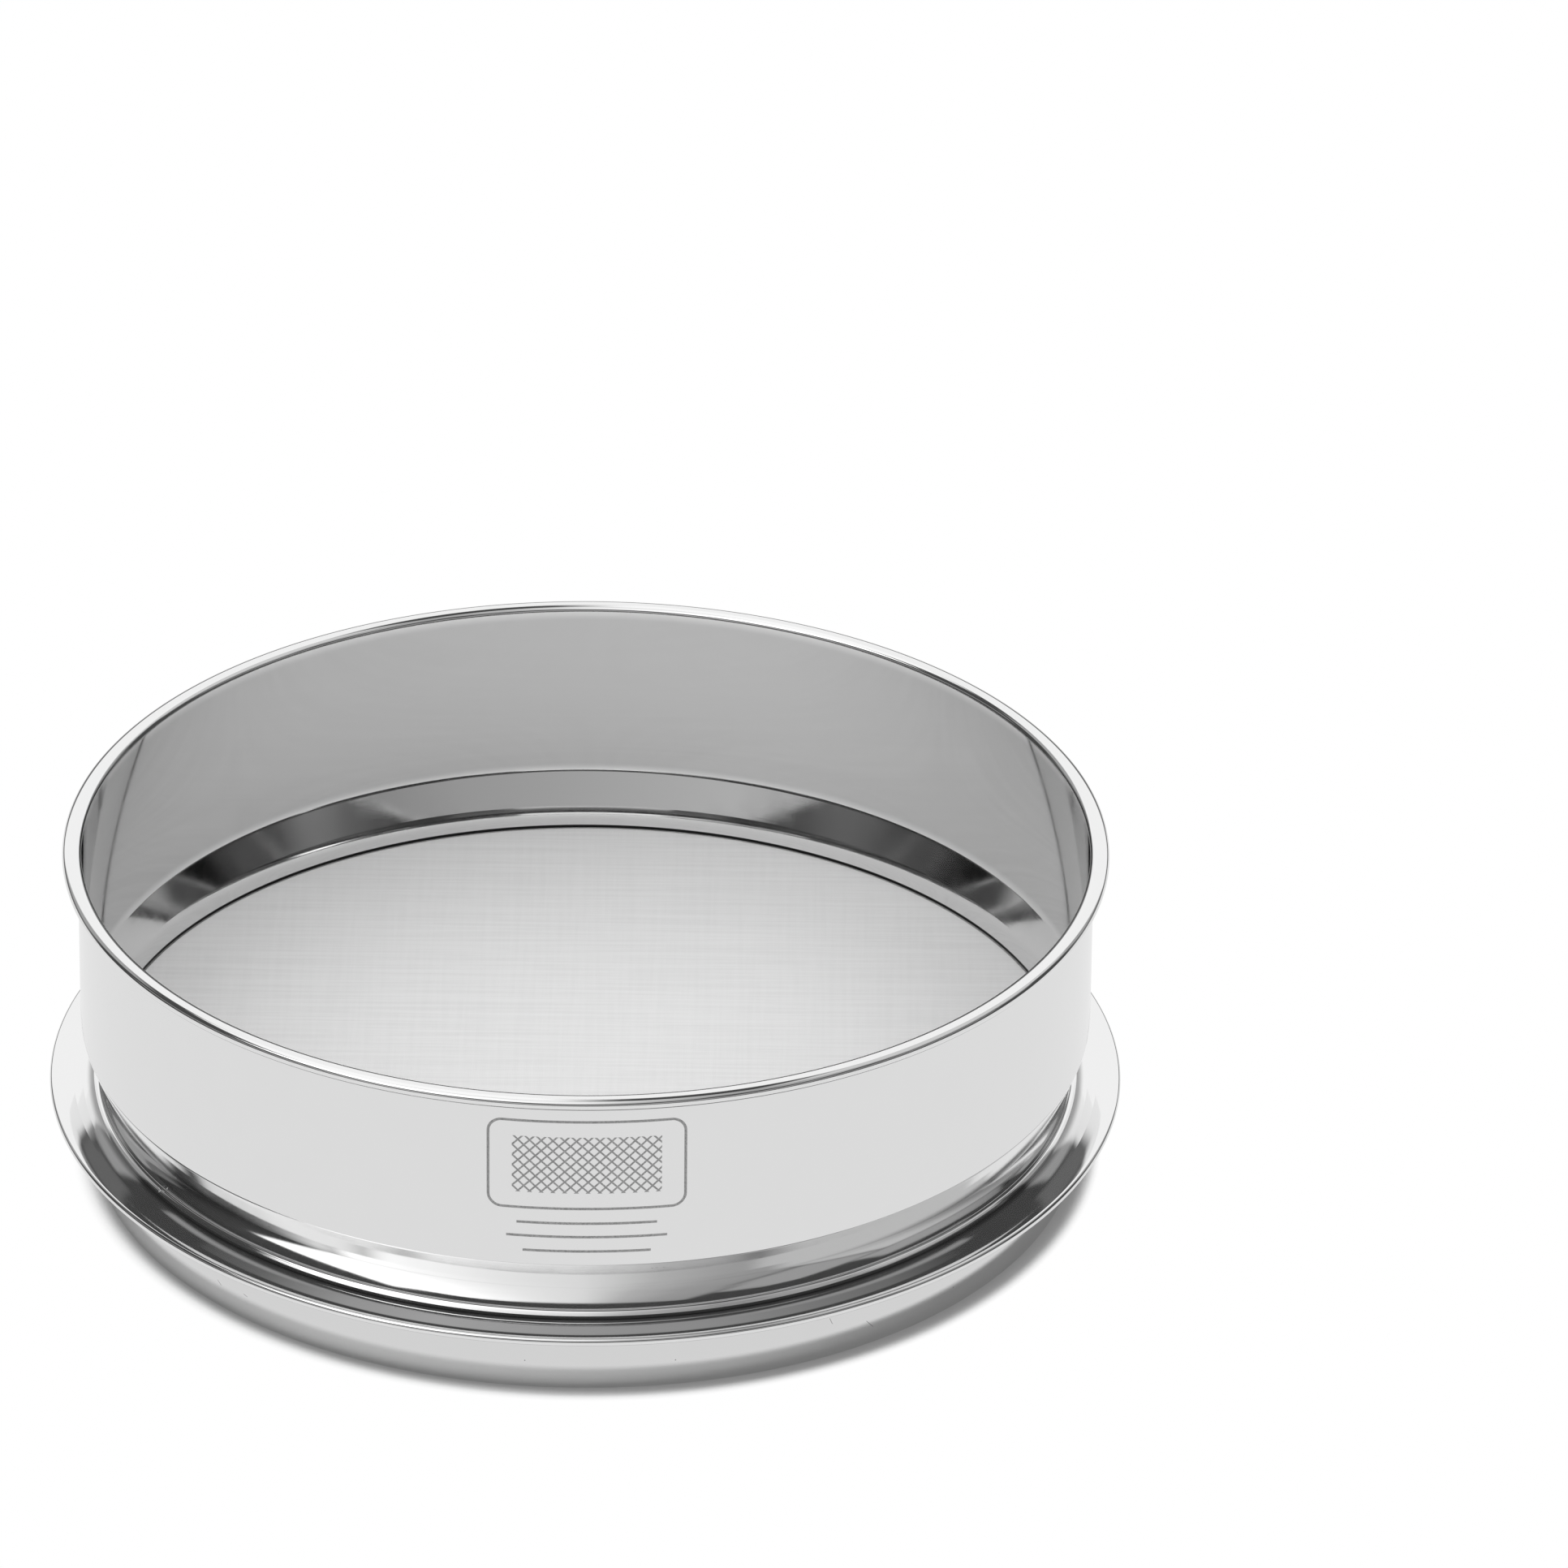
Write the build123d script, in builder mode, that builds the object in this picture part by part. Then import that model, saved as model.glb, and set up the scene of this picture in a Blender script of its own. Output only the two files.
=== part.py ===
from build123d import *
from math import acos, atan2, cos, degrees, hypot, radians, sin, sqrt
import os

# Test sieve, nominal 200 mm diameter by 50 mm deep.  Millimetres, +Z up.
# The origin is on the axis, in the plane of the skirt's bottom edge, which the
# sieve stands on.  The frame and the skirt ring are spun from thin stainless
# sheet, and woven wire cloth is clamped between them like a drum skin.

# --- driving dimensions: frame, one spun shell --------------------------------

bore_radius = 100.0          # inside of the cylindrical wall
frame_sheet = 0.7            # sheet thickness
total_height = 67.1          # bottom edge of the skirt to the crest of the rim
rim_width = 3.8              # rolled rim, inside of the wall to its outer edge
rim_rise = 1.275             # rolled rim, widest level to its crest
rim_crown_angle = 60.0       # arc of the flatter crown on top of the roll
rim_under_bend = 1.15        # outer bend under the roll
rim_curl_gap = 0.15          # rolled-in edge to the outside of the wall
shoulder_bend = 4.5          # bend below the wall, outside face
shoulder_angle = 22.0        # slope of the shoulder, away from upright
neck_step = 3.8              # wall to the narrow neck that grips the cloth
neck_bend = 12.0             # bend above the neck, outside face
neck_length = 0.5            # upright part of the neck
foot_bend = 1.0              # bend at the neck's lower end, outside face
foot_length = 0.35           # level part of the turned-out foot
foot_clearance = 0.05        # foot to the flange under it

# --- driving dimensions: woven wire cloth -------------------------------------

cloth_thickness = 0.2        # two wires thick
cloth_clearance = 0.05       # cloth to the neck outside it and to the hub inside it
wire_pitch = 4.0             # spacing of the raised wires
wire_width = 0.8             # width of a raised wire
wire_rise = 0.1              # height of a raised wire above the face
wire_margin = 4.0            # plain border of the cloth outside the raised wires
gap_size = 1.2               # side of an open cell
gap_step = 4                 # an open cell in every fourth space between wires

# --- driving dimensions: skirt ring, one spun ring ----------------------------

ring_sheet = 0.7             # sheet thickness
hub_rise = 2.15              # flange to the upper edge of the hub
hub_edge_round = 0.3         # rounded upper edge that the cloth is drawn over
hub_bend = 0.8               # bend between hub and flange, outside face
flange_height = 15.35        # level inner part of the flange, under the foot
flange_level = 1.9           # width of that level part
lip_rise = 0.55              # flange to the crest of the lip
lip_overhang = 6.35          # outside of the wall to the outer edge of the lip
lip_gap = 0.2                # space inside the fold at the lip
lip_crown_bend = 15.0        # bend of the flange inside the lip, outside face
fold_level = 0.6             # level part of the folded layer, inside the lip
fold_angle = 16.0            # slope of the folded layer from there to the skirt
fold_bend = 1.5              # both bends of the folded layer, outside face
skirt_clearance = 0.7        # skirt to the bore of the sieve stacked below it
skirt_lead = 1.0             # how far the skirt draws in to its bottom edge
skirt_lead_bend = 14.0       # both bends of the skirt's lead-in, outside face
skirt_edge_height = 0.6      # upright part at the bottom edge

# --- helpers ------------------------------------------------------------------

DOWN = (0, -1)
OUTWARDS = (1, 0)
STRAIGHT = 0


def draw_face(start, heading, steps, depth):
    """Draw one face of a bent sheet, depth to the right of its outside face.

    A step is (length, STRAIGHT) or (radius, turn), tangent to the step before,
    with the radius on the outside face and the turn in degrees to the left.
    """
    tangent = Vector(heading)
    point = Vector(start) + tangent.rotate(Axis.Z, -90) * depth
    first = point
    for size, turn in steps:
        if turn == STRAIGHT:
            piece = Line(point, point + tangent * size)
        elif turn > 0:
            piece = JernArc(point, tangent, size + depth, turn)
        else:
            piece = JernArc(point, tangent, size - depth, turn)
        point, tangent = piece @ 1, piece % 1
    return first, point


def draw_sheet(start, heading, steps, thickness):
    """Draw the whole section of a bent sheet: both faces and the cut edges."""
    outside = draw_face(start, heading, steps, 0)
    inside = draw_face(start, heading, steps, thickness)
    Line(outside[0], inside[0])
    Line(outside[1], inside[1])


def ease_angle(step, bend):
    """Turn of two opposite tangent bends that shift a line sideways by step."""
    return degrees(acos(1 - step / (2 * bend)))


def places_within(radius, pitch):
    """Places at half pitches on both sides of the middle, inside a radius."""
    per_side = int(radius / pitch + 0.5)
    return [(i + 0.5) * pitch for i in range(-per_side, per_side)]


# --- sizes that follow --------------------------------------------------------

wall_radius = bore_radius + frame_sheet
foot_top = flange_height + foot_clearance + frame_sheet
cloth_radius = bore_radius - neck_step - cloth_clearance
hub_radius = cloth_radius - cloth_thickness - cloth_clearance
hub_top = flange_height + hub_rise
cloth_height = hub_top + cloth_clearance + cloth_thickness
lip_height = flange_height + lip_rise
lip_radius = wall_radius + lip_overhang
skirt_radius = bore_radius - skirt_clearance

# --- frame --------------------------------------------------------------------

# The rolled rim is an oval: a corner bend, a flatter crown and a second corner
# bend turn it over, and one more bend takes the free edge back in below.
rim_half_width = rim_width / 2
crown_sin = sin(radians(rim_crown_angle / 2))
crown_cos = cos(radians(rim_crown_angle / 2))
rim_corner_bend = (rim_rise * crown_sin - rim_half_width * (1 - crown_cos)) / (
    crown_sin + crown_cos - 1
)
rim_crown_bend = (rim_half_width - rim_corner_bend * (1 - crown_sin)) / crown_sin
rim_corner_angle = 90 - rim_crown_angle / 2
rim_level = total_height - rim_rise
rim_floor = rim_level - (rim_under_bend - frame_sheet)
curl_edge_radius = wall_radius + rim_curl_gap
curl_length = bore_radius + rim_width - rim_under_bend - curl_edge_radius

# Below the wall, a sloping shoulder between two bends narrows the shell to the
# neck.
shoulder_sin = sin(radians(shoulder_angle))
shoulder_cos = cos(radians(shoulder_angle))
shoulder_bends = shoulder_bend + neck_bend
shoulder_slope = (neck_step - shoulder_bends * (1 - shoulder_cos)) / shoulder_sin
neck_top = foot_top + foot_bend + neck_length
shoulder_top = neck_top + shoulder_slope * shoulder_cos + shoulder_bends * shoulder_sin

frame_steps = [
    (curl_length, STRAIGHT),
    (rim_under_bend - frame_sheet, 90),
    (rim_corner_bend - frame_sheet, rim_corner_angle),
    (rim_crown_bend - frame_sheet, rim_crown_angle),
    (rim_corner_bend - frame_sheet, rim_corner_angle),
    (rim_level - shoulder_top, STRAIGHT),
    (shoulder_bend, -shoulder_angle),
    (shoulder_slope, STRAIGHT),
    (neck_bend, shoulder_angle),
    (neck_length, STRAIGHT),
    (foot_bend, 90),
    (foot_length, STRAIGHT),
]

with BuildPart() as frame:
    with BuildSketch(Plane.XZ) as frame_section:
        with BuildLine() as frame_outline:
            draw_sheet((curl_edge_radius, rim_floor), OUTWARDS, frame_steps, frame_sheet)
        make_face()
    revolve(axis=Axis.Z)
frame.part.label = "frame"

# --- woven wire cloth ---------------------------------------------------------

# The edge is turned down over the hub and ends above the bend of the flange.
cloth_bend = hub_edge_round + cloth_clearance + cloth_thickness
cloth_steps = [
    (cloth_radius - cloth_bend, STRAIGHT),
    (cloth_bend, -90),
    (hub_rise - hub_bend - hub_edge_round - cloth_clearance, STRAIGHT),
]

# The real wires and openings are too fine to be drawn one by one: raised wires
# at a coarser pitch cross on the two faces, with open cells between them.
weave_radius = cloth_radius - cloth_bend - wire_margin
wire_places = places_within(weave_radius, wire_pitch)
gap_places = places_within(weave_radius, wire_pitch * gap_step)
cloth_underside = cloth_height - cloth_thickness

with BuildPart() as cloth:
    with BuildSketch(Plane.XZ) as cloth_section:
        with BuildLine() as cloth_outline:
            draw_sheet((0, cloth_height), OUTWARDS, cloth_steps, cloth_thickness)
        make_face()
    revolve(axis=Axis.Z)
    with BuildSketch(Plane.XY.offset(cloth_height)) as warp:
        for place in wire_places:
            with Locations((0, place)):
                Rectangle(2 * sqrt(weave_radius**2 - place**2), wire_width)
    extrude(amount=wire_rise)
    with BuildSketch(Plane.XY.offset(cloth_underside)) as weft:
        for place in wire_places:
            with Locations((place, 0)):
                Rectangle(wire_width, 2 * sqrt(weave_radius**2 - place**2))
    extrude(amount=-wire_rise)
    with BuildSketch(Plane.XY.offset(cloth_height)) as open_cells:
        for across in gap_places:
            for along in gap_places:
                if hypot(across, along) < weave_radius:
                    with Locations((across, along)):
                        Rectangle(gap_size, gap_size)
    extrude(amount=-cloth_thickness, mode=Mode.SUBTRACT)
cloth.part.label = "cloth"

# --- skirt ring ---------------------------------------------------------------

# The flange is dished: it rises from the level part to the lip in two bends.
lip_bend = ring_sheet + lip_gap / 2
lip_bottom = lip_height - 2 * lip_bend
lip_centre_radius = lip_radius - lip_bend
flange_run = lip_centre_radius - (hub_radius + hub_bend + flange_level)
flange_angle = 2 * degrees(atan2(lip_rise, flange_run))
flange_dish_bend = flange_run / sin(radians(flange_angle)) - lip_crown_bend

# The folded layer slopes down from the lip, and the skirt hangs from it.
fold_run = lip_centre_radius - fold_level - fold_bend - skirt_radius
fold_drop = fold_run * sin(radians(fold_angle)) / cos(radians(fold_angle))
skirt_top = lip_bottom - fold_drop - fold_bend
lead_angle = ease_angle(skirt_lead, skirt_lead_bend)
lead_height = 2 * skirt_lead_bend * sin(radians(lead_angle))

ring_steps = [
    (hub_top - flange_height - hub_bend, STRAIGHT),
    (hub_bend, 90),
    (flange_level, STRAIGHT),
    (flange_dish_bend, flange_angle),
    (lip_crown_bend, -flange_angle),
    (lip_bend, -180),
    (fold_level, STRAIGHT),
    (fold_bend, fold_angle),
    (hypot(fold_run, fold_drop), STRAIGHT),
    (fold_bend, 90 - fold_angle),
    (skirt_top - lead_height - skirt_edge_height, STRAIGHT),
    (skirt_lead_bend, -lead_angle),
    (skirt_lead_bend, lead_angle),
    (skirt_edge_height, STRAIGHT),
]

with BuildPart() as skirt_ring:
    with BuildSketch(Plane.XZ) as ring_section:
        with BuildLine() as ring_outline:
            draw_sheet((hub_radius, hub_top), DOWN, ring_steps, ring_sheet)
        make_face()
    revolve(axis=Axis.Z)
    fillet(skirt_ring.edges().group_by(Axis.Z)[-1], hub_edge_round)
skirt_ring.part.label = "skirt_ring"

# --- output -------------------------------------------------------------------

os.makedirs("parts", exist_ok=True)
export_step(frame.part, "parts/frame.step")
export_step(cloth.part, "parts/cloth.step")
export_step(skirt_ring.part, "parts/skirt_ring.step")
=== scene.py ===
import math

import bmesh
import bpy
from mathutils import Matrix, Vector


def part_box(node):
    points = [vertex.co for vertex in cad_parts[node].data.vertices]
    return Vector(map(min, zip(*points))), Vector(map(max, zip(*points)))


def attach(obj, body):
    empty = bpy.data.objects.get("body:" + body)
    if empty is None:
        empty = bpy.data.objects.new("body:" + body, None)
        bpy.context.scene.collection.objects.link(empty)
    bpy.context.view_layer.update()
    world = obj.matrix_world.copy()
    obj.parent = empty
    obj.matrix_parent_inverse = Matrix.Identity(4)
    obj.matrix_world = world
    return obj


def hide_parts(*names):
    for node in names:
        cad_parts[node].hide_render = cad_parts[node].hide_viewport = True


# Test sieve, seen as in the photograph: a spun frame and skirt ring in polished
# stainless steel with fine woven wire cloth between them, on a white sweep.
# Metres, in the CAD model's frame: +Z up, the camera on the -Y side.

MM = 0.001

# --- camera: a long lens from well back and 28.5 degrees above the floor ------

IMAGE_PX = 1932
FOCAL_PX = 16490
SENSOR_MM = 36.0
CAMERA_PLACE = Vector((0.0391, -2.3269, 1.3426))
CAMERA_PITCH = 0.49697  # below the horizon, radians
CAMERA_ROLL = -0.01074  # radians

# --- meshes -------------------------------------------------------------------

SEGMENTS = 320
BEND_STEP = 4.5  # degrees between points on a bend
LONG_RUN = 1.0 * MM  # a run this long is kept flat by points near its ends
HOLD = 0.03 * MM  # distance of those points from the run's ends
SHARP_ANGLE = 40.0  # degrees
JOIN_DISTANCE = 1e-8  # points this close are one point
EQUAL_CHORDS = 0.02  # chords of one arc differ by less than this share
BEND_TURNS = (0.5, 25.0)  # degrees between chords that stand for an arc

# --- steel --------------------------------------------------------------------

STEEL = (0.82, 0.82, 0.82, 1.0)
# Painted shade: darker steel inside the wall, for the dim things it mirrors.
WALL_INSIDE_SHADE = (0.62, 0.62, 0.62, 1.0)
# Painted shade: darker steel on the skirt band, for the shaded floor it mirrors.
SKIRT_SHADE = (0.74, 0.74, 0.74, 1.0)
# Colour of the small dirt marks, of the painted shade at the seam and under the rim, and of the
# darker groove.
GRIME_AND_SHADE = (0.02, 0.02, 0.02, 1.0)
ETCHED = (0.26, 0.26, 0.26, 1.0)
ROUGHNESS = (0.05, 0.09)
ETCHED_ROUGHNESS = 0.35  # added to the steel's own
NOISE_RANGE = (0.3, 0.7)  # most of a noise's values
SMUDGE_RANGE = (0.35, 0.7)
SMUDGE_SCALE = 120.0
SPECKLE_SCALE = 4000.0
SPECKLE_SHARES = (0.75, 1.0)
LINE_SPACING = 0.2 * MM  # turning lines
LINE_DEPTH = 0.0008 * MM
ROUND_SCALE = 12.0  # how fast the turning lines change round the axis
WAVE_SCALE = 38.0
WAVE_DEPTH = 0.010 * MM

# Darker places: painted shade on the steel and in dark bands where shade falls, a darker
# groove, and small marks of real dirt.
PLAIN_WALL = (25 * MM, 40 * MM)  # heights at which the wall is widest
WALL_SHADE_HEIGHTS = (30 * MM, 65 * MM)  # heights of the painted shade inside the wall
SKIRT_SHADE_HEIGHTS = (0.0, 13.5 * MM)  # heights of the painted shade on the skirt
SHEET_MIDDLE = 0.35 * MM  # from either face of the sheet
EDGE = 0.1 * MM  # half the width of the soft edge between two faces of a sheet
SKIRT_INSET = 1.4 * MM  # outside of the wall to outside of the skirt
NECK_INSET = 4.0 * MM  # outside of the wall to within the sheet of the neck
FOOT_DROP = 1.5 * MM  # the foot is further than this below the top of the cloth
SEAM_BELOW, SEAM_ABOVE = 0.05 * MM, 0.60 * MM  # painted shade inside the neck, from the top of the cloth
# Painted shade: a dark band on the underside of the rolled rim.
UNDER_RIM = (64 * MM, 65.2 * MM)
UNDER_RIM_SHADE = 0.65
GROOVE = (0.2 * MM, 1.6 * MM)  # from full darkening to none, outwards from the foot
GROOVE_DARKENING = 0.6
FLANGE_BELOW_FOOT = 0.75 * MM
MARK_DIRT = 0.7

# Places on the wall and skirt are (way round from the front, height), in mm.
PANEL_MIDDLE = (2.0, 51.2)
PANEL_HALF = (19.4, 9.9)
PANEL_CORNER = 3.0
PANEL_LINE = 0.55
SWATCH_HALF = (14.5, 6.2)  # crossed lines in the panel
SWATCH_PITCH = 1.6
SWATCH_LINE = 0.35
RULES = [(38.3, 13.6), (35.3, 15.6), (32.1, 12.4)]  # heights and half lengths
RULE_LINE = 0.55
ETCHED_EDGE = 0.06 * MM  # half the width of the soft edge of an etched line

# Small marks: from, to, half width.
WALL_MARKS = [
    ((-66.6, 23.4), (-66.3, 23.4), 0.12),
    ((14.7, 27.6), (14.9, 27.3), 0.05),
    ((15.6, 27.6), (15.8, 27.4), 0.05),
    ((17.0, 27.5), (17.2, 27.3), 0.05),
]
SKIRT_MARKS = [
    ((-10.1, 6.3), (-9.9, 6.3), 0.12),
    ((19.3, 5.9), (19.5, 5.9), 0.12),
    ((82.9, 4.6), (83.1, 4.6), 0.15),
    ((51.4, 9.1), (52.0, 7.7), 0.05),
    ((60.0, 5.8), (61.9, 3.7), 0.05),
    ((-78.9, 6.4), (-78.0, 5.5), 0.06),
    ((-71.6, 6.2), (-70.7, 5.9), 0.06),
]

# --- cloth --------------------------------------------------------------------

WEAVE_PITCH = 0.30 * MM
WEAVE_DEPTH = 0.03 * MM
CLOTH_SHADES = (0.90, 0.96)
STRIPE_SHADES = (-0.012, 0.012)  # added to those
STREAK = (22.0, 900.0, 1.0)  # scale along X, across and up
STRIPE = (900.0, 22.0, 1.0)
CLOTH_METAL, CLOTH_ROUGHNESS = 0.10, 0.5
SAG_SCALE = 14.0
SAG_DEPTH = 0.05 * MM
CLOTH_RINGS = 6
CLOTH_SEGMENTS = 360
LOOSE_WIRE = 0.05 * MM  # radius of the few wires that stick out at the seam
LOOSE_SIDES, LOOSE_STEPS = 6, 4
LOOSE_PLACE = math.radians(-58.0)  # from the front
LOOSE_INSET = 1.2 * MM  # from the edge of the frame's foot
LOOSE_WIRES = [  # along the seam, reach outwards, and rise, in mm
    (-0.7, 0.5, 0.3),
    (0.1, 0.9, 0.1),
    (0.8, 0.4, 0.4),
]

# --- studio -------------------------------------------------------------------

# What polished metal sees; a brightness of 1 is white. Panels overhead are laid
# out one unit above the object: left, right, back and front, with the front
# towards the camera. The levels run from the panel's left to its right.
KEY_PANEL = (-1.05, 0.50, -0.10, 1.00)
KEY_LEVELS = [
    (0.0, 1.75),
    (0.35, 1.70),
    (0.45, 1.42),
    (0.56, 1.17),
    (0.68, 1.00),
    (0.77, 0.62),
    (0.87, 0.45),
    (1.0, 0.38),
]
OVERHEAD_PANELS = [
    ((-0.57, 0.00, -0.70, -0.10), 1.15),
    ((0.50, 1.00, 0.05, 0.70), 0.45),
    ((0.30, 1.00, -1.20, 0.05), 0.70),
    ((1.00, 1.45, -0.80, 0.30), 0.45),
]
# Panels round the horizon: azimuths from the camera and elevations, in degrees.
NEAR_PANEL = (-95.0, 95.0, 8.5, 26.0)
NEAR_LEVELS = [
    (0.0, 0.10),
    (0.10, 0.18),
    (0.22, 0.42),
    (0.33, 0.50),
    (0.55, 0.40),
    (0.66, 0.36),
    (0.77, 0.27),
    (0.88, 0.20),
    (1.0, 0.07),
]
HORIZON_PANELS = [((-112.0, 100.0, 20.0, 27.0), 0.36)]
# Panels behind the object: azimuths from straight behind and elevations.
BACK_PANELS = [
    ((-32.0, 36.0, 11.0, 62.0), 1.05),
    ((-52.0, 52.0, 13.0, 42.0), 0.40),
    ((-60.0, 60.0, -10.0, 12.0), 0.17),
]
KEY_SOFT, OVERHEAD_SOFT = 0.05, 0.06  # soft edges of panels, in the units above
NEAR_SOFT, HORIZON_SOFT, BACK_SOFT = 2.0, 2.5, 3.0  # degrees
LEAST_RISE = 0.02  # keeps the places overhead finite near the horizon
DIM = 0.07  # the room between the panels
FLOOR_IN_METAL = 0.86  # brightness of the floor as metal sees it
SHADOW_REACH = 5.2 * MM
SHADOW_LEAN = (-0.30, 0.0, 0.95)  # the light comes from the left
SHADOW_PAINT = (0.48, 0.48, 0.48, 1.0)
SHADOW_RANGE = (0.62, 1.0)  # share of open sky where the shadow is full and gone
FLOOR_SIZE = 3.0  # half its side
FLOOR_GAP = 0.02 * MM  # floor to the sieve


# --- helpers: meshes ----------------------------------------------------------


def section_of(node, tolerance=1e-7):
    """The outline of a spun CAD piece, as (radius, height) points in order.

    The points are those of its seam, on the +X side. A flat ring has no seam
    of its own, so there the walk goes on to the next point at that height.
    """
    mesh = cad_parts[node].data
    places = [(round(v.co.x, 7), round(v.co.z, 7)) for v in mesh.vertices]
    on_seam = [abs(v.co.y) < tolerance and v.co.x > 0 for v in mesh.vertices]
    links = {}
    for edge in mesh.edges:
        a, b = edge.vertices
        if on_seam[a] and on_seam[b] and places[a] != places[b]:
            links.setdefault(places[a], set()).add(places[b])
            links.setdefault(places[b], set()).add(places[a])
    ends = [place for place in links if len(links[place]) == 1]
    path = [min(ends or links)]
    left = set(links) - set(path)
    while left:
        here = path[-1]
        joined = links[here] & left
        level = min(left, key=lambda place: (abs(place[1] - here[1]), math.dist(place, here)))
        path.append(min(joined, key=lambda place: math.dist(place, here)) if joined else level)
        left.remove(path[-1])
    return path


def round_bends(outline, limits):
    """Adds points on the arcs that equal short chords stand for, within limits."""
    count = len(outline)
    chords = [Vector(outline[(i + 1) % count]) - Vector(outline[i]) for i in range(count)]
    low, high = limits
    rounded = []
    for i, chord in enumerate(chords):
        here = Vector(outline[i])
        rounded.append(tuple(here))
        turns = []
        for a, b in ((chords[i - 1], chord), (chord, chords[(i + 1) % count])):
            turn = math.atan2(a.x * b.y - a.y * b.x, a.dot(b))
            equal = abs(a.length - b.length) < EQUAL_CHORDS * chord.length
            if equal and BEND_TURNS[0] < abs(math.degrees(turn)) < BEND_TURNS[1]:
                turns.append(turn)
        if not turns:
            continue
        turn = min(turns, key=abs)
        radius = chord.length / (2 * math.sin(turn / 2))
        heading = math.atan2(chord.y, chord.x) - turn / 2
        parts = math.ceil(abs(math.degrees(turn)) / BEND_STEP)
        for part in range(1, parts):
            ahead = heading + turn * part / parts
            outwards = math.sin(ahead) - math.sin(heading)
            upwards = math.cos(heading) - math.cos(ahead)
            point = here + radius * Vector((outwards, upwards))
            rounded.append((min(point.x, high.x), max(low.z, min(point.y, high.z))))
    return rounded


def hold_runs(outline):
    """Adds points near the ends of long straight runs, which keeps them flat."""
    held = []
    for here, after in zip(outline, outline[1:] + outline[:1]):
        held.append(here)
        run = math.dist(here, after)
        if run > LONG_RUN:
            for share in (HOLD / run, 1 - HOLD / run):
                held.append(tuple(Vector(here).lerp(Vector(after), share)))
    return held


def spin(name, outline, segments, closed=True):
    """A mesh object: the outline turned once round the Z axis."""
    count = len(outline)
    points = []
    for s in range(segments):
        angle = 2 * math.pi * s / segments
        c, d = math.cos(angle), math.sin(angle)
        points += [(radius * c, radius * d, height) for radius, height in outline]
    faces = []
    for s in range(segments):
        here, there = s * count, (s + 1) % segments * count
        for i in range(count if closed else count - 1):
            j = (i + 1) % count
            faces.append((here + i, there + i, there + j, here + j))
    piece = add_mesh(name, points, faces)
    if signed_area(outline) > 0:
        piece.data.flip_normals()
    return piece


def signed_area(outline):
    """Positive where the outline runs anticlockwise, with the radius to the right."""
    pairs = zip(outline, outline[1:] + outline[:1])
    return sum(a[0] * b[1] - b[0] * a[1] for a, b in pairs) / 2


def add_mesh(name, points, faces):
    """A smooth-shaded mesh object, whose points in one place are joined."""
    mesh = bpy.data.meshes.new(name)
    mesh.from_pydata(points, [], faces)
    joined = bmesh.new()
    joined.from_mesh(mesh)
    bmesh.ops.remove_doubles(joined, verts=joined.verts, dist=JOIN_DISTANCE)
    joined.to_mesh(mesh)
    joined.free()
    mesh.shade_smooth()
    mesh.set_sharp_from_angle(angle=math.radians(SHARP_ANGLE))
    piece = bpy.data.objects.new(name, mesh)
    bpy.context.scene.collection.objects.link(piece)
    return piece


# --- helpers: nodes -----------------------------------------------------------


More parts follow.
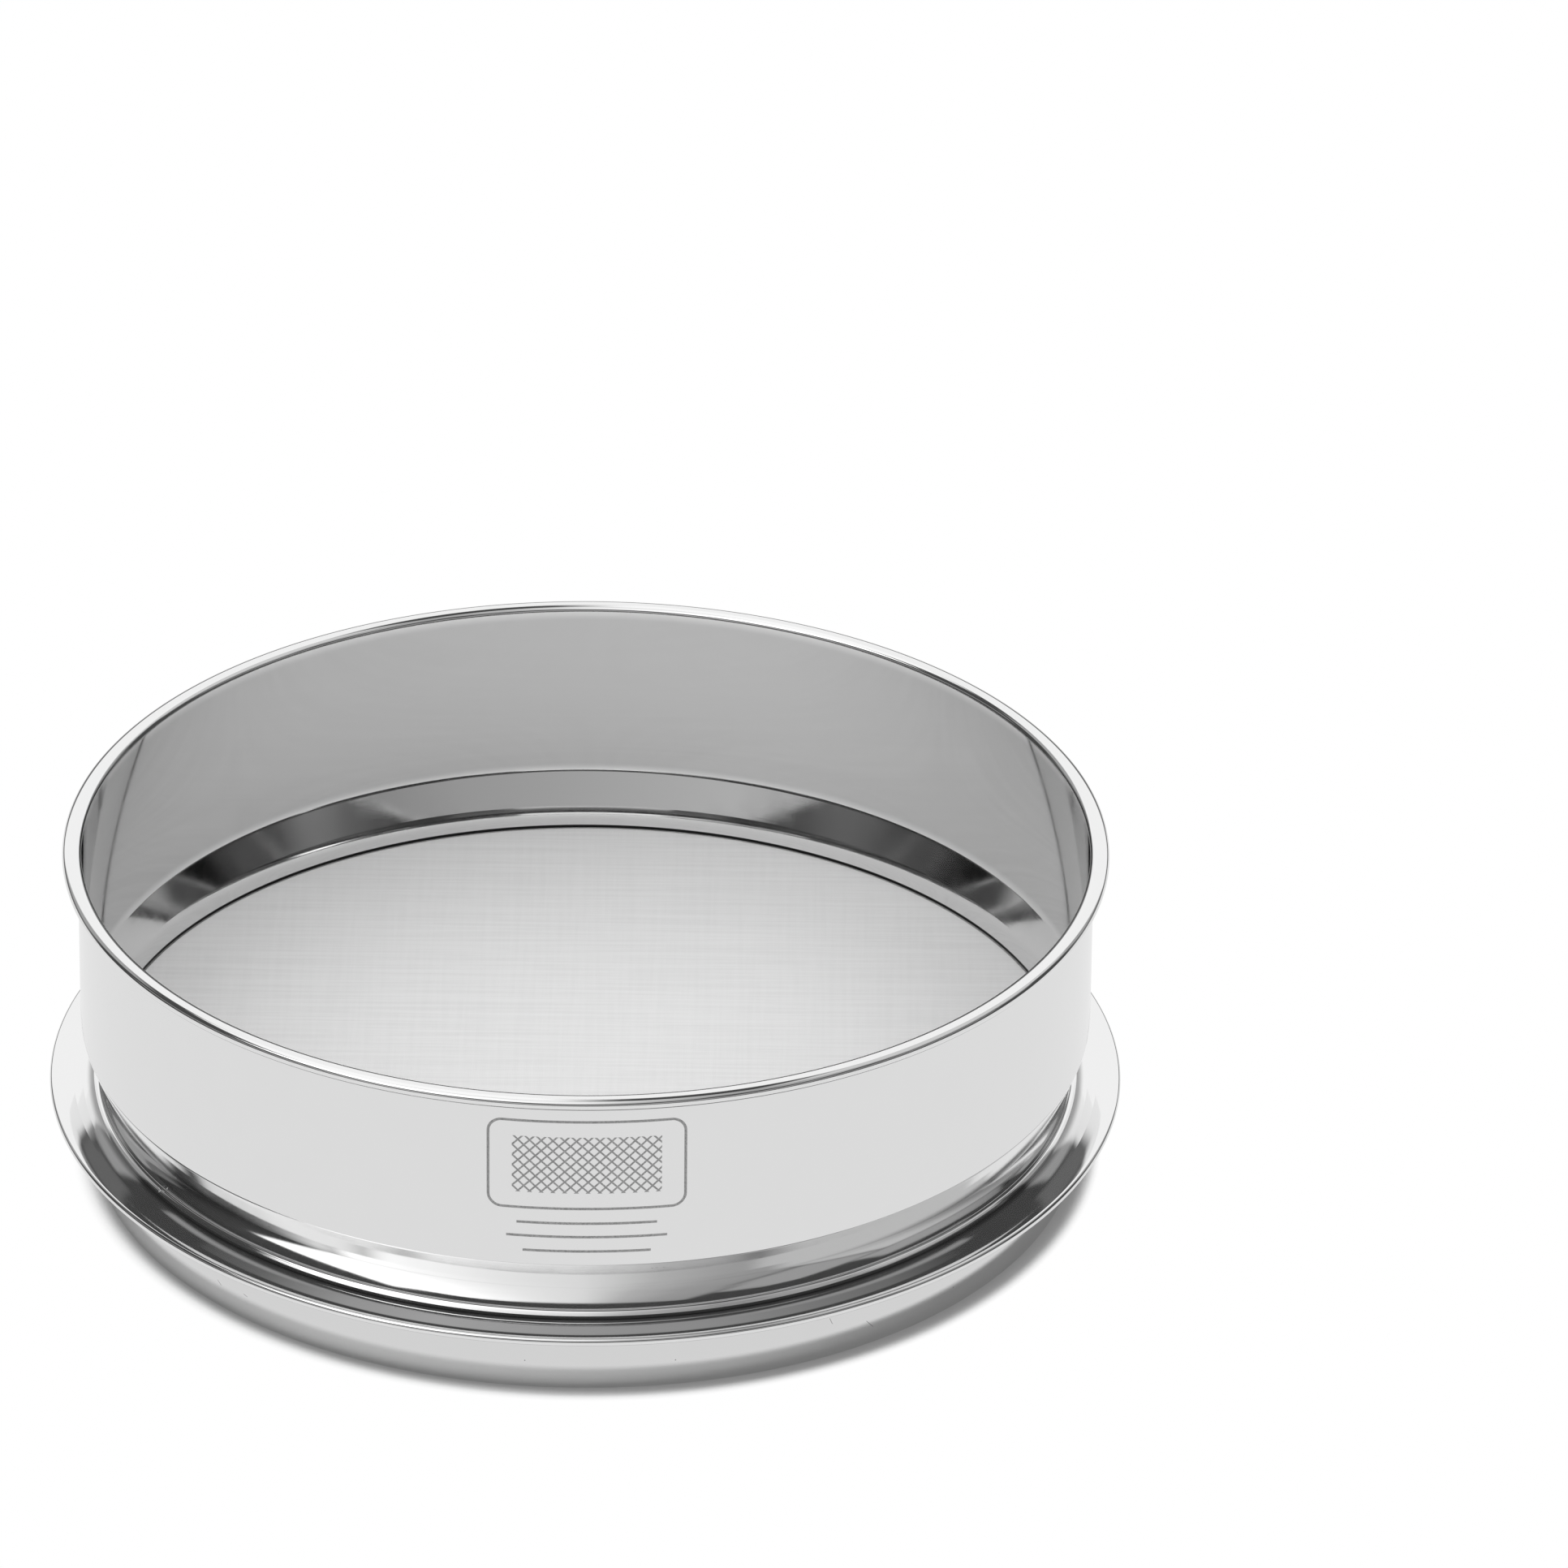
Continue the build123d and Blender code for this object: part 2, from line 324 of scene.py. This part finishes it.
class Graph:
    """Short calls that wire a node tree."""

    def __init__(self, tree):
        self.tree = tree
        tree.nodes.clear()

    def add(self, kind, inputs=(), **settings):
        node = self.tree.nodes.new(kind)
        for key, value in settings.items():
            setattr(node, key, value)
        for key, value in dict(inputs).items():
            self.feed(node.inputs[key], value)
        return node

    def feed(self, socket, value):
        if isinstance(value, bpy.types.NodeSocket):
            self.tree.links.new(value, socket)
        else:
            socket.default_value = value

    def math(self, operation, *values):
        node = self.tree.nodes.new("ShaderNodeMath")
        node.operation = operation
        for socket, value in zip(node.inputs, values):
            self.feed(socket, value)
        return node.outputs[0]

    def sum_of_products(self, a, b, c, d):
        """a times b, plus c times d."""
        return self.math("ADD", self.math("MULTIPLY", a, b), self.math("MULTIPLY", c, d))

    def vector(self, operation, *values):
        node = self.tree.nodes.new("ShaderNodeVectorMath")
        node.operation = operation
        for socket, value in zip(node.inputs, values):
            self.feed(socket, value)
        return node.outputs[0]

    def most(self, values):
        """The largest of several values."""
        largest = values[0]
        for value in values[1:]:
            largest = self.math("MAXIMUM", largest, value)
        return largest

    def fit(self, value, low, high, to_low=0.0, to_high=1.0):
        """Maps low..high smoothly to to_low..to_high."""
        limits = {"From Min": low, "From Max": high, "To Min": to_low, "To Max": to_high}
        inputs = {"Value": value, **limits}
        node = self.add("ShaderNodeMapRange", inputs, interpolation_type="SMOOTHSTEP")
        return node.outputs["Result"]

    def ramp(self, value, low, high, stops):
        """A level that follows (place, level) stops set out from low to high."""
        limits = {"From Min": low, "From Max": high}
        share = self.add("ShaderNodeMapRange", {"Value": value, **limits}).outputs["Result"]
        node = self.add("ShaderNodeValToRGB", {"Fac": share})
        elements = node.color_ramp.elements
        while len(elements) < len(stops):
            elements.new(0.5)
        for element, (place, level) in zip(elements, stops):
            element.position = place
            element.color = (level / 2, level / 2, level / 2, 1.0)
        return self.math("MULTIPLY", node.outputs["Color"], 2.0)

    def between(self, value, low, high, soft):
        """One between low and high, with soft edges."""
        above = self.fit(value, low - soft, low + soft)
        below = self.fit(value, high - soft, high + soft, 1.0, 0.0)
        return self.math("MULTIPLY", above, below)

    def window(self, across, up, sides, soft):
        """One inside the rectangle (left, right, bottom, top), with soft edges."""
        left, right, bottom, top = sides
        beside = self.between(across, left, right, soft)
        return self.math("MULTIPLY", beside, self.between(up, bottom, top, soft))

    def noise(self, place, scale, detail=2.0, roughness=0.5):
        inputs = {"Vector": place, "Scale": scale, "Detail": detail, "Roughness": roughness}
        return self.add("ShaderNodeTexNoise", inputs).outputs["Fac"]

    def mix(self, factor, first, second):
        """Mixes two colours, by the node's own colour sockets."""
        node = self.add("ShaderNodeMix", data_type="RGBA")
        self.feed(node.inputs[0], factor)
        self.feed(node.inputs[6], first)
        self.feed(node.inputs[7], second)
        return node.outputs[2]

    def blend(self, factor, first, second):
        """Mixes two shaders."""
        node = self.add("ShaderNodeMixShader", {"Fac": factor})
        self.feed(node.inputs[1], first)
        self.feed(node.inputs[2], second)
        return node.outputs["Shader"]


def new_material(name):
    material = bpy.data.materials.new(name)
    material.use_nodes = True
    return material, Graph(material.node_tree)


# --- materials ----------------------------------------------------------------


def stroke(g, round_way, height, start, end, half_width):
    """One along a short straight mark, on the unrolled wall."""
    run = Vector(end) - Vector(start)
    way_u, way_v = run.normalized()
    from_u = g.math("SUBTRACT", round_way, start[0] * MM)
    from_v = g.math("SUBTRACT", height, start[1] * MM)
    along = g.sum_of_products(from_u, way_u, from_v, way_v)
    beside = g.sum_of_products(from_v, way_u, from_u, -way_v)
    soft = 0.4 * half_width * MM
    on_line = g.between(beside, -half_width * MM, half_width * MM, soft)
    return g.math("MULTIPLY", on_line, g.between(along, 0.0, run.length * MM, soft))


def etching(g, round_way, height):
    """The etched panel: a rounded outline round crossed lines, and three rules."""
    soft = ETCHED_EDGE
    u = g.math("ABSOLUTE", g.math("SUBTRACT", round_way, PANEL_MIDDLE[0] * MM))
    v = g.math("ABSOLUTE", g.math("SUBTRACT", height, PANEL_MIDDLE[1] * MM))
    over_u = g.math("SUBTRACT", u, (PANEL_HALF[0] - PANEL_CORNER) * MM)
    over_v = g.math("SUBTRACT", v, (PANEL_HALF[1] - PANEL_CORNER) * MM)
    out_u, out_v = g.math("MAXIMUM", over_u, 0.0), g.math("MAXIMUM", over_v, 0.0)
    beyond = g.math("SQRT", g.sum_of_products(out_u, out_u, out_v, out_v))
    inner = g.math("MINIMUM", g.math("MAXIMUM", over_u, over_v), 0.0)
    to_edge = g.math("SUBTRACT", g.math("ADD", beyond, inner), PANEL_CORNER * MM)
    outline = g.between(to_edge, -PANEL_LINE * MM, 0.0, soft)

    slants = []
    for way in ("ADD", "SUBTRACT"):
        across = g.math(way, round_way, height)
        from_line = g.math("PINGPONG", across, SWATCH_PITCH * MM / math.sqrt(2))
        slants.append(g.fit(from_line, SWATCH_LINE * MM / 2, SWATCH_LINE * MM, 1.0, 0.0))
    inside_u = g.between(u, -1.0, SWATCH_HALF[0] * MM, soft)
    inside_v = g.between(v, -1.0, SWATCH_HALF[1] * MM, soft)
    swatch = g.math("MULTIPLY", g.most(slants), g.math("MULTIPLY", inside_u, inside_v))

    rules = []
    for level, half_length in RULES:
        low, high = (level - RULE_LINE / 2) * MM, (level + RULE_LINE / 2) * MM
        line = g.between(height, low, high, soft)
        rules.append(g.math("MULTIPLY", line, g.between(u, -1.0, half_length * MM, soft)))
    return g.most([outline, swatch] + rules)


def polished_steel(name, outside, marks, darker, seam=None, groove=None, etched=False):
    """Bright spun stainless: waves, turning lines, smudges and small marks.

    outside is the radius that ways round are measured at. The argument after
    marks is a radius, two heights and the darker colour inside them: painted
    shade, standing in for the dim things that the steel mirrors there. Painted
    shade also darkens a band at the seam, a range of heights inside the neck,
    and the underside of the rolled rim when etched is set. The groove, from one
    radius to another on the flange at a height, is darker too.
    """
    material, g = new_material(name)
    place = g.add("ShaderNodeTexCoord").outputs["Object"]
    axes = g.add("ShaderNodeSeparateXYZ", {"Vector": place}).outputs
    radius = g.math("SQRT", g.sum_of_products(axes["X"], axes["X"], axes["Y"], axes["Y"]))
    angle = g.math("ARCTAN2", axes["X"], g.math("MULTIPLY", axes["Y"], -1.0))
    round_way = g.math("MULTIPLY", angle, outside)
    height = axes["Z"]

    # Turning lines: long round the axis and close together along the section.
    lines = g.add(
        "ShaderNodeTexNoise",
        {
            "Vector": g.vector("MULTIPLY", place, (ROUND_SCALE, ROUND_SCALE, 1 / LINE_SPACING)),
            "W": g.math("DIVIDE", radius, LINE_SPACING),
            "Scale": 1.0,
            "Detail": 2.0,
        },
        noise_dimensions="4D",
    ).outputs["Fac"]
    waves = g.noise(g.vector("MULTIPLY", place, (1.0, 1.0, 1.6)), WAVE_SCALE, 1.0)
    smudges = g.noise(place, SMUDGE_SCALE, 4.0, 0.65)
    rough = g.fit(smudges, *SMUDGE_RANGE, *ROUGHNESS)

    # Painted shade: darker steel inside a radius and between two heights.
    within = g.fit(radius, darker[0] - EDGE, darker[0] + EDGE, 1.0, 0.0)
    painted_shade = g.math("MULTIPLY", within, g.between(height, darker[1], darker[2], 1 * MM))
    spots = [stroke(g, round_way, height, *mark) for mark in marks]
    dark = g.math("MULTIPLY", g.most(spots), MARK_DIRT)
    if seam:
        # Painted shade: a dark band inside the neck, where the gap by the cloth is in shadow.
        neck = outside - NECK_INSET
        inside = g.fit(radius, neck - EDGE, neck + EDGE, 1.0, 0.0)
        seam_shade = g.math("MULTIPLY", g.between(height, *seam, 0.08 * MM), inside)
        dark = g.math("MAXIMUM", dark, seam_shade)
    if etched:
        # Painted shade on the underside of the rolled rim.
        rolled = g.fit(radius, outside + 0.5 * MM, outside + 0.7 * MM)
        under_rim_shade = g.math("MULTIPLY", rolled, g.between(height, *UNDER_RIM, 0.15 * MM))
        dark = g.math("MAXIMUM", dark, g.math("MULTIPLY", under_rim_shade, UNDER_RIM_SHADE))
    if groove:
        # The groove beside the foot is darker.
        by_foot = g.fit(radius, groove[0], groove[1], GROOVE_DARKENING, 0.0)
        on_top = g.fit(height, groove[2] - 0.3 * MM, groove[2] - 0.2 * MM)
        dark = g.math("MAXIMUM", dark, g.math("MULTIPLY", by_foot, on_top))
    # Darker steel of the painted shade, then the grime colour for marks, painted shade and the
    # groove.
    colour = g.mix(dark, g.mix(painted_shade, STEEL, darker[3]), GRIME_AND_SHADE)
    if etched:
        on_outside = g.fit(radius, outside - 0.6 * MM, outside - 0.4 * MM)
        speckle = g.fit(g.noise(place, SPECKLE_SCALE, 1.0), *NOISE_RANGE, *SPECKLE_SHARES)
        depth = g.math("MULTIPLY", on_outside, speckle)
        ground = g.math("MULTIPLY", etching(g, round_way, height), depth)
        colour = g.mix(ground, colour, ETCHED)
        rough = g.math("ADD", rough, g.math("MULTIPLY", ground, ETCHED_ROUGHNESS))

    bump = g.add("ShaderNodeBump", {"Height": waves, "Strength": 1.0, "Distance": WAVE_DEPTH})
    turned = {"Height": lines, "Strength": 1.0, "Distance": LINE_DEPTH}
    turned["Normal"] = bump.outputs["Normal"]
    normal = g.add("ShaderNodeBump", turned).outputs["Normal"]
    look = {"Base Color": colour, "Metallic": 1.0, "Roughness": rough, "Normal": normal}
    shader = g.add("ShaderNodeBsdfPrincipled", look)
    g.add("ShaderNodeOutputMaterial", {"Surface": shader.outputs["BSDF"]})
    return material


def woven_wire(name):
    """Fine plain-woven wire cloth, whose wires run along X and along Y."""
    material, g = new_material(name)
    place = g.add("ShaderNodeTexCoord").outputs["Object"]
    axes = g.add("ShaderNodeSeparateXYZ", {"Vector": place}).outputs
    turn = 2 * math.pi / WEAVE_PITCH
    across = g.math("COSINE", g.math("MULTIPLY", axes["X"], turn))
    along = g.math("COSINE", g.math("MULTIPLY", axes["Y"], turn))
    weave = g.math("MAXIMUM", across, along)
    streaks = g.noise(g.vector("MULTIPLY", place, STREAK), 1.0, 3.0, 0.7)
    stripes = g.noise(g.vector("MULTIPLY", place, STRIPE), 1.0, 2.0, 0.7)
    shade = g.math(
        "ADD",
        g.fit(streaks, *NOISE_RANGE, *CLOTH_SHADES),
        g.fit(stripes, *NOISE_RANGE, *STRIPE_SHADES),
    )
    tone = g.add("ShaderNodeCombineColor", dict.fromkeys(("Red", "Green", "Blue"), shade))
    sag = {"Height": g.noise(place, SAG_SCALE, 1.0), "Distance": SAG_DEPTH}
    slack = g.add("ShaderNodeBump", sag)
    wires = {"Height": weave, "Strength": 0.3, "Distance": WEAVE_DEPTH}
    wires["Normal"] = slack.outputs["Normal"]
    normal = g.add("ShaderNodeBump", wires).outputs["Normal"]
    look = {"Metallic": CLOTH_METAL, "Roughness": CLOTH_ROUGHNESS, "Normal": normal}
    look["Base Color"] = tone.outputs["Color"]
    shader = g.add("ShaderNodeBsdfPrincipled", look)
    g.add("ShaderNodeOutputMaterial", {"Surface": shader.outputs["BSDF"]})
    return material


def white_sweep(name):
    """White floor: plain white to the eye, with the object's own contact shadow."""
    material, g = new_material(name)
    path = g.add("ShaderNodeLightPath").outputs
    looks = g.most([path["Is Camera Ray"], path["Is Glossy Ray"], path["Is Transmission Ray"]])
    lean = g.add("ShaderNodeCombineXYZ", dict(zip("XYZ", SHADOW_LEAN))).outputs["Vector"]
    nearby = {"Distance": SHADOW_REACH, "Normal": lean}
    openness = g.add("ShaderNodeAmbientOcclusion", nearby, samples=8).outputs["AO"]
    share = g.math("MULTIPLY", g.fit(openness, *SHADOW_RANGE), looks)
    darker = g.math("MULTIPLY", path["Is Glossy Ray"], 1.0 - FLOOR_IN_METAL)
    strength = g.math("SUBTRACT", 1.0, darker)
    paint = g.add("ShaderNodeBsdfDiffuse", {"Color": SHADOW_PAINT}).outputs["BSDF"]
    glow = g.add("ShaderNodeEmission", {"Strength": strength}).outputs["Emission"]
    below = g.add("ShaderNodeNewGeometry").outputs["Backfacing"]
    clear = g.add("ShaderNodeBsdfTransparent").outputs["BSDF"]
    surface = g.blend(below, g.blend(share, paint, glow), clear)
    g.add("ShaderNodeOutputMaterial", {"Surface": surface})
    return material


# --- studio, floor and camera -------------------------------------------------


def light_studio():
    """White to the camera; polished metal sees soft panels in a dim room."""
    world = bpy.data.worlds.new("studio")
    world.use_nodes = True
    bpy.context.scene.world = world
    g = Graph(world.node_tree)
    path = g.add("ShaderNodeLightPath").outputs
    way = g.add("ShaderNodeTexCoord").outputs["Generated"]
    axes = g.add("ShaderNodeSeparateXYZ", {"Vector": way}).outputs
    forward = g.math("MULTIPLY", axes["Y"], -1.0)
    rise = g.math("MAXIMUM", axes["Z"], LEAST_RISE)
    right = g.math("DIVIDE", axes["X"], rise)
    front = g.math("DIVIDE", forward, rise)
    elevation = g.math("DEGREES", g.math("ARCSINE", axes["Z"]))
    azimuth = g.math("DEGREES", g.math("ARCTAN2", axes["X"], forward))
    behind = g.math("DEGREES", g.math("ARCTAN2", axes["X"], axes["Y"]))

    key_level = g.ramp(right, *KEY_PANEL[:2], KEY_LEVELS)
    near_level = g.ramp(azimuth, *NEAR_PANEL[:2], NEAR_LEVELS)
    groups = [
        ([(KEY_PANEL, key_level)], right, front, KEY_SOFT),
        ([(NEAR_PANEL, near_level)], azimuth, elevation, NEAR_SOFT),
        (OVERHEAD_PANELS, right, front, OVERHEAD_SOFT),
        (HORIZON_PANELS, azimuth, elevation, HORIZON_SOFT),
        (BACK_PANELS, behind, elevation, BACK_SOFT),
    ]
    lights = []
    for panels, across, up, soft in groups:
        for sides, level in panels:
            lights.append(g.math("MULTIPLY", g.window(across, up, sides, soft), level))
    room = g.math("MAXIMUM", g.most(lights), DIM)

    white = (1.0, 1.0, 1.0, 1.0)
    plain = g.add("ShaderNodeBackground", {"Color": white, "Strength": 1.0})
    seen = g.add("ShaderNodeBackground", {"Color": white, "Strength": room})
    skies = [sky.outputs["Background"] for sky in (plain, seen)]
    g.add("ShaderNodeOutputWorld", {"Surface": g.blend(path["Is Glossy Ray"], *skies)})


def lay_floor():
    size = FLOOR_SIZE
    corners = [(-size, -size, 0), (size, -size, 0), (size, size, 0), (-size, size, 0)]
    floor = add_mesh("floor", corners, [(0, 1, 2, 3)])
    floor.location.z = -FLOOR_GAP
    floor.data.materials.append(white_sweep("white_sweep"))


def place_camera():
    data = bpy.data.cameras.new("camera")
    data.sensor_width = SENSOR_MM
    data.lens = SENSOR_MM * FOCAL_PX / IMAGE_PX
    data.clip_start, data.clip_end = 0.1, 20.0
    forward = Vector((0, math.cos(CAMERA_PITCH), -math.sin(CAMERA_PITCH)))
    right = Matrix.Rotation(CAMERA_ROLL, 3, forward) @ Vector((1, 0, 0))
    turn = Matrix((right, right.cross(forward), -forward)).transposed()
    camera = bpy.data.objects.new("camera", data)
    camera.matrix_world = Matrix.Translation(CAMERA_PLACE) @ turn.to_4x4()
    bpy.context.scene.collection.objects.link(camera)
    bpy.context.scene.camera = camera


# --- pieces -------------------------------------------------------------------


def make_spun(name, node, material):
    outline = hold_runs(round_bends(section_of(node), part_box(node)))
    piece = spin(name, outline, SEGMENTS)
    piece.data.materials.append(material)
    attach(piece, "root")
    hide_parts(node)


def make_cloth(material):
    """The cloth: a smooth thin disc with its edge turned down."""
    edge = section_of("cloth")
    if edge[0][1] < edge[-1][1]:
        edge.reverse()
    top, under = edge[0], edge[-1]
    rings = [top[0] * i / CLOTH_RINGS for i in range(CLOTH_RINGS)]
    outline = [(r, top[1]) for r in rings] + edge + [(r, under[1]) for r in reversed(rings)]
    piece = spin("wire_cloth", outline, CLOTH_SEGMENTS, closed=False)
    piece.data.materials.append(material)
    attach(piece, "root")
    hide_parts("cloth")


def make_loose_wires(material, seam_radius, seam_height):
    """A few ends of wire that stick out where the frame sits on the flange."""
    points, faces = [], []
    for along, reach, rise in LOOSE_WIRES:
        angle = LOOSE_PLACE + along * MM / seam_radius
        out = Vector((math.sin(angle), -math.cos(angle), 0))
        up = Vector((0, 0, 1))
        start = out * seam_radius + up * seam_height
        for step in range(LOOSE_STEPS + 1):
            share = step / LOOSE_STEPS
            middle = start + out * reach * MM * share + up * rise * MM * share**2
            for side in range(LOOSE_SIDES):
                turn = 2 * math.pi * side / LOOSE_SIDES
                beside = out.cross(up) * math.cos(turn) + up * math.sin(turn)
                points.append(middle + beside * LOOSE_WIRE)
            if step:
                first = len(points) - 2 * LOOSE_SIDES
                near = [first + side for side in range(LOOSE_SIDES)]
                far = [corner + LOOSE_SIDES for corner in near]
                for side in range(LOOSE_SIDES):
                    before = side - 1
                    faces.append((near[before], near[side], far[side], far[before]))
    piece = add_mesh("loose_wires", points, faces)
    piece.data.materials.append(material)
    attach(piece, "root")


# --- scene --------------------------------------------------------------------

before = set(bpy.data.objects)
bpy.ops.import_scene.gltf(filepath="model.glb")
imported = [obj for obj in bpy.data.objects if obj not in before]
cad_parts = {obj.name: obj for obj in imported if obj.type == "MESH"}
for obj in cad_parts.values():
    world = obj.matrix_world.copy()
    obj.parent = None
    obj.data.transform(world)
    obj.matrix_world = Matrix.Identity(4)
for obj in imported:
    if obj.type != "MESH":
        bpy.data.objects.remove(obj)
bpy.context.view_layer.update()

frame_section = section_of("frame")
wall_outside = max(r for r, h in frame_section if PLAIN_WALL[0] < h < PLAIN_WALL[1])
skirt_outside = wall_outside - SKIRT_INSET
cloth_top = max(h for r, h in section_of("cloth"))
foot = [(r, h) for r, h in frame_section if h < cloth_top - FOOT_DROP]
foot_edge = max(r for r, h in foot)
foot_level = max(h for r, h in foot if abs(r - foot_edge) < 0.01 * MM)

# Painted shade: a dark band inside the neck just above the cloth.
seam = (cloth_top - SEAM_BELOW, cloth_top + SEAM_ABOVE)
# Painted shade: darker steel inside the wall.
wall_inside_shade = (wall_outside - SHEET_MIDDLE, *WALL_SHADE_HEIGHTS, WALL_INSIDE_SHADE)
frame_steel = polished_steel(
    "frame_steel", wall_outside, WALL_MARKS, wall_inside_shade, seam=seam, etched=True
)
groove = (foot_edge + GROOVE[0], foot_edge + GROOVE[1], foot_level - FLANGE_BELOW_FOOT)
# Painted shade: darker steel on the skirt band.
skirt = (skirt_outside + 1 * MM, *SKIRT_SHADE_HEIGHTS, SKIRT_SHADE)
ring_steel = polished_steel("ring_steel", skirt_outside, SKIRT_MARKS, skirt, groove=groove)
wire = woven_wire("wire_cloth_look")
make_spun("frame_shell", "frame", frame_steel)
make_spun("skirt_ring_shell", "skirt_ring", ring_steel)
make_cloth(wire)
make_loose_wires(wire, foot_edge - LOOSE_INSET, foot_level + LOOSE_WIRE)

light_studio()
lay_floor()
place_camera()
bpy.context.scene.view_settings.view_transform = "Standard"
